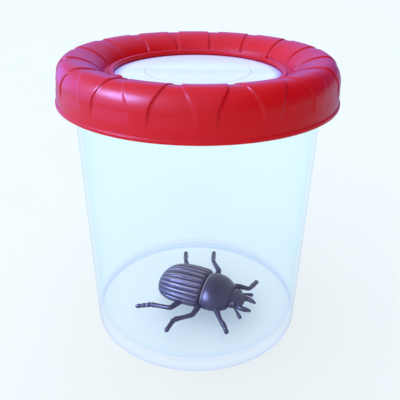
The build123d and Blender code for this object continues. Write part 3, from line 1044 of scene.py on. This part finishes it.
    def head(self) -> Surface:
        """Gives the head, from the neck to a blunt front, with a shallow groove for the brow."""
        t = np.concatenate([np.linspace(0, 0.97, 40), [0.985, 0.995, 1.0]])
        nose = rolled((t - 0.93) / 0.07, 0.5)
        width = through(self.head_stations, self.head_widths, t) * nose
        rise = through(self.head_stations, self.head_rises, t) * nose
        brow = -0.25 * bump(t, 0.62, 0.04)[:, None] + 0 * ROUND
        return self.hull(self.head_start + t * self.head_length, (width, rise), self.head_size, brow)

    def waist(self) -> Surface:
        """Gives the narrow waist under the groove between wing cases and shield."""
        along = np.linspace(-self.waist_half_length, self.waist_half_length, 12)
        share = self.waist_share * rolled(np.abs(along) / 3.4, power=4.0)
        return self.hull(along, (share, share), self.waist_size)

    def limb(self, joints: Path, kind: LimbKind) -> Surface:
        """Gives a limb: a round tube on a path that bends softly at its joints, with a rounded tip.

        The radius is a smooth curve through the kind's radii. Beads are a small sine ripple on the last third.
        """
        path = refined(softened(np.array(joints), kind.bend, 8), 0.35, 0.05)
        length = lengths(path)
        share = length / length[-1]
        radius = through(kind.knots, kind.radii, share)
        ripple = 1 + kind.beads * np.sin(2 * np.pi * 4 * (share - 0.66) / 0.34) * eased((share - 0.62) / 0.08)
        left = np.clip((length[-1] - length) / kind.radii[-1], 0, 1)
        tip = np.sqrt(np.clip(1 - (1 - left) ** 2, 0.02, 1))
        return Surface(self.placed(tube(path, radius * ripple * tip)), tips=True)

    def eyeball(self, side: int) -> Surface:
        """Gives one eye: a small ellipsoid on the left side, 1, or the right, -1."""
        middle = np.array(self.eye) * [1, side, 1]
        return Surface(self.placed(pillow(middle, np.array(self.eye_half), 1.0, self.eye_turn * side)), tips=True)

    def build(self) -> None:
        """Builds the body, head, eyes, jaws, feelers and legs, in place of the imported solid."""
        dark = self.finish.material()
        trunk = [self.wing_cases(), self.shield(), self.waist()]
        body = make_piece("beetle_body", trunk, dark, Body.BEETLE)
        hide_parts("toy_beetle")
        face = [self.head(), self.eyeball(1), self.eyeball(-1)]
        make_piece("beetle_head", face, dark, Body.BEETLE)
        mouth = [self.limb(jaw, JAW) for jaw in self.jaws] + [self.limb(feeler, FEELER) for feeler in self.feelers]
        make_piece("beetle_mouthparts", mouth, dark, Body.BEETLE)
        legs = [self.limb(leg, LEG) for leg in self.legs]
        make_piece("beetle_legs", legs, dark, Body.BEETLE)


# The studio


@dataclass(frozen=True)
class Panel:
    """A soft rectangular lamp, with its power in watts, that faces a target and shows in highlights only."""

    name: str
    place: Triple
    size: Pair
    power: float
    tint: str
    target: Triple

    def build(self) -> None:
        """Builds the lamp."""
        lamp = bpy.data.lights.new(self.name, "AREA")
        lamp.shape = "RECTANGLE"
        lamp.size, lamp.size_y = self.size[0] * MM, self.size[1] * MM
        lamp.energy = self.power
        lamp.color = linear(self.tint)[:3]
        panel = put(self.name, lamp)
        panel.location = Vector(self.place) * MM
        panel.rotation_euler = (Vector(self.target) * MM - panel.location).to_track_quat("-Z", "Y").to_euler()
        panel.visible_diffuse = False


@dataclass
class Studio:
    """The pale table, the soft light and the camera that stands where the photograph was taken."""

    table_half: float = 4000.0
    table_top: float = -0.02
    eye: Triple = (0.0, -199.0, 160.82)
    pitch: float = 27.807
    yaw: float = 0.369
    roll: float = 0.562
    lens: float = 45.0
    sensor: float = 36.0
    nearest: float = 10.0
    sky: str = "#F8FBFF"
    mirrored_sky: str = "#8C9CFF"
    sky_levels: Pair = (1.33, 0.06)
    seen_level: float = 0.97
    shade_side: Triple = (0.99, -0.1, -0.1)
    shade_span: Pair = (0.0, 0.57)
    panels: tuple[Panel, ...] = (
        Panel("window", (-910.0, -440.0, 640.0), (640.0, 360.0), 54.0, "#A2B6FF", (0.0, 0.0, 60.0)),
        Panel("left_wall", (-700.0, 150.0, 205.0), (1500.0, 400.0), 6.0, "#4C78FF", (0.0, 150.0, 205.0)),
    )

    def build_table(self) -> None:
        """Builds the table: a flat grid just under the jar's foot."""
        span = np.linspace(-self.table_half, self.table_half, 9)
        x, y = np.meshgrid(span, span, indexing="ij")
        surface = Surface(np.stack([x, y, 0 * x + self.table_top], axis=-1), wrap_columns=False)
        mesh = bpy.data.meshes.new("table")
        mesh.from_pydata((surface.corners()[0] * MM).tolist(), [], surface.faces()[0][:, ::-1].tolist())
        mesh.materials.append(PaleTable().material())
        table = put("table", mesh)

    def light(self) -> None:
        """Lights the set with a pale sky, dim on the right, and two panels on the left that show in highlights.

        Where the eye sees the sky, straight or through the clear pieces, it is evenly pale.
        """
        world = bpy.data.worlds.new("pale_room")
        bpy.context.scene.world = world
        add = empty_nodes(world)
        way = add("TexCoord", out="Generated")
        shade = add("VectorMath", {0: way, 1: self.shade_side}, "Value", operation="DOT_PRODUCT")
        (start, end), (bright, dim) = self.shade_span, self.sky_levels
        span = {"Value": shade, "From Min": start, "From Max": end, "To Min": bright, "To Max": dim}
        level = add("MapRange", span)
        ray = add("LightPath").node.outputs
        straight, through_clear = ray["Is Camera Ray"], ray["Is Transmission Ray"]
        gap = {0: ray["Is Glossy Ray"], 1: through_clear}
        mirrored = add("Math", gap, operation="SUBTRACT", use_clamp=True)
        tint = add("Mix", {0: mirrored, 6: linear(self.sky), 7: linear(self.mirrored_sky)}, **COLOUR)
        seen = add("Math", {0: straight, 1: through_clear}, operation="MAXIMUM")
        strength = add("Mix", {0: seen, 2: level, 3: self.seen_level})
        glow = add("Background", {"Color": tint, "Strength": strength})
        add("OutputWorld", {"Surface": glow})
        for panel in self.panels:
            panel.build()

    def aim(self) -> None:
        """Sets the camera by its pitch, yaw and roll: its columns are right, up and back."""
        pitch, yaw, roll = (np.radians(v) for v in (self.pitch, self.yaw, self.roll))
        back = np.array([-np.sin(yaw) * np.cos(pitch), -np.cos(yaw) * np.cos(pitch), np.sin(pitch)])
        right = np.cross(UP, back)
        right /= np.linalg.norm(right)
        up = np.cross(back, right)
        c, s = np.cos(roll), np.sin(roll)
        turn = Matrix(np.stack([c * right + s * up, -s * right + c * up, back], axis=-1).tolist()).to_4x4()
        data = bpy.data.cameras.new("camera")
        data.lens, data.sensor_width, data.clip_start = self.lens, self.sensor, self.nearest * MM
        camera = put("camera", data)
        camera.matrix_world = Matrix.Translation(Vector(self.eye) * MM) @ turn
        bpy.context.scene.camera = camera

    def build(self) -> None:
        """Builds the table, the light and the camera."""
        bpy.context.scene.view_settings.view_transform = "Standard"
        self.build_table()
        self.light()
        self.aim()


def main() -> None:
    """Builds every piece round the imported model."""
    logging.basicConfig(level=logging.INFO, format="%(name)s: %(message)s")
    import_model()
    for assembly in (Jar(), Lid(), Beetle(), Studio()):
        assembly.build()
        LOG.info("built %s", type(assembly).__name__)


if __name__ == "__main__":
    main()
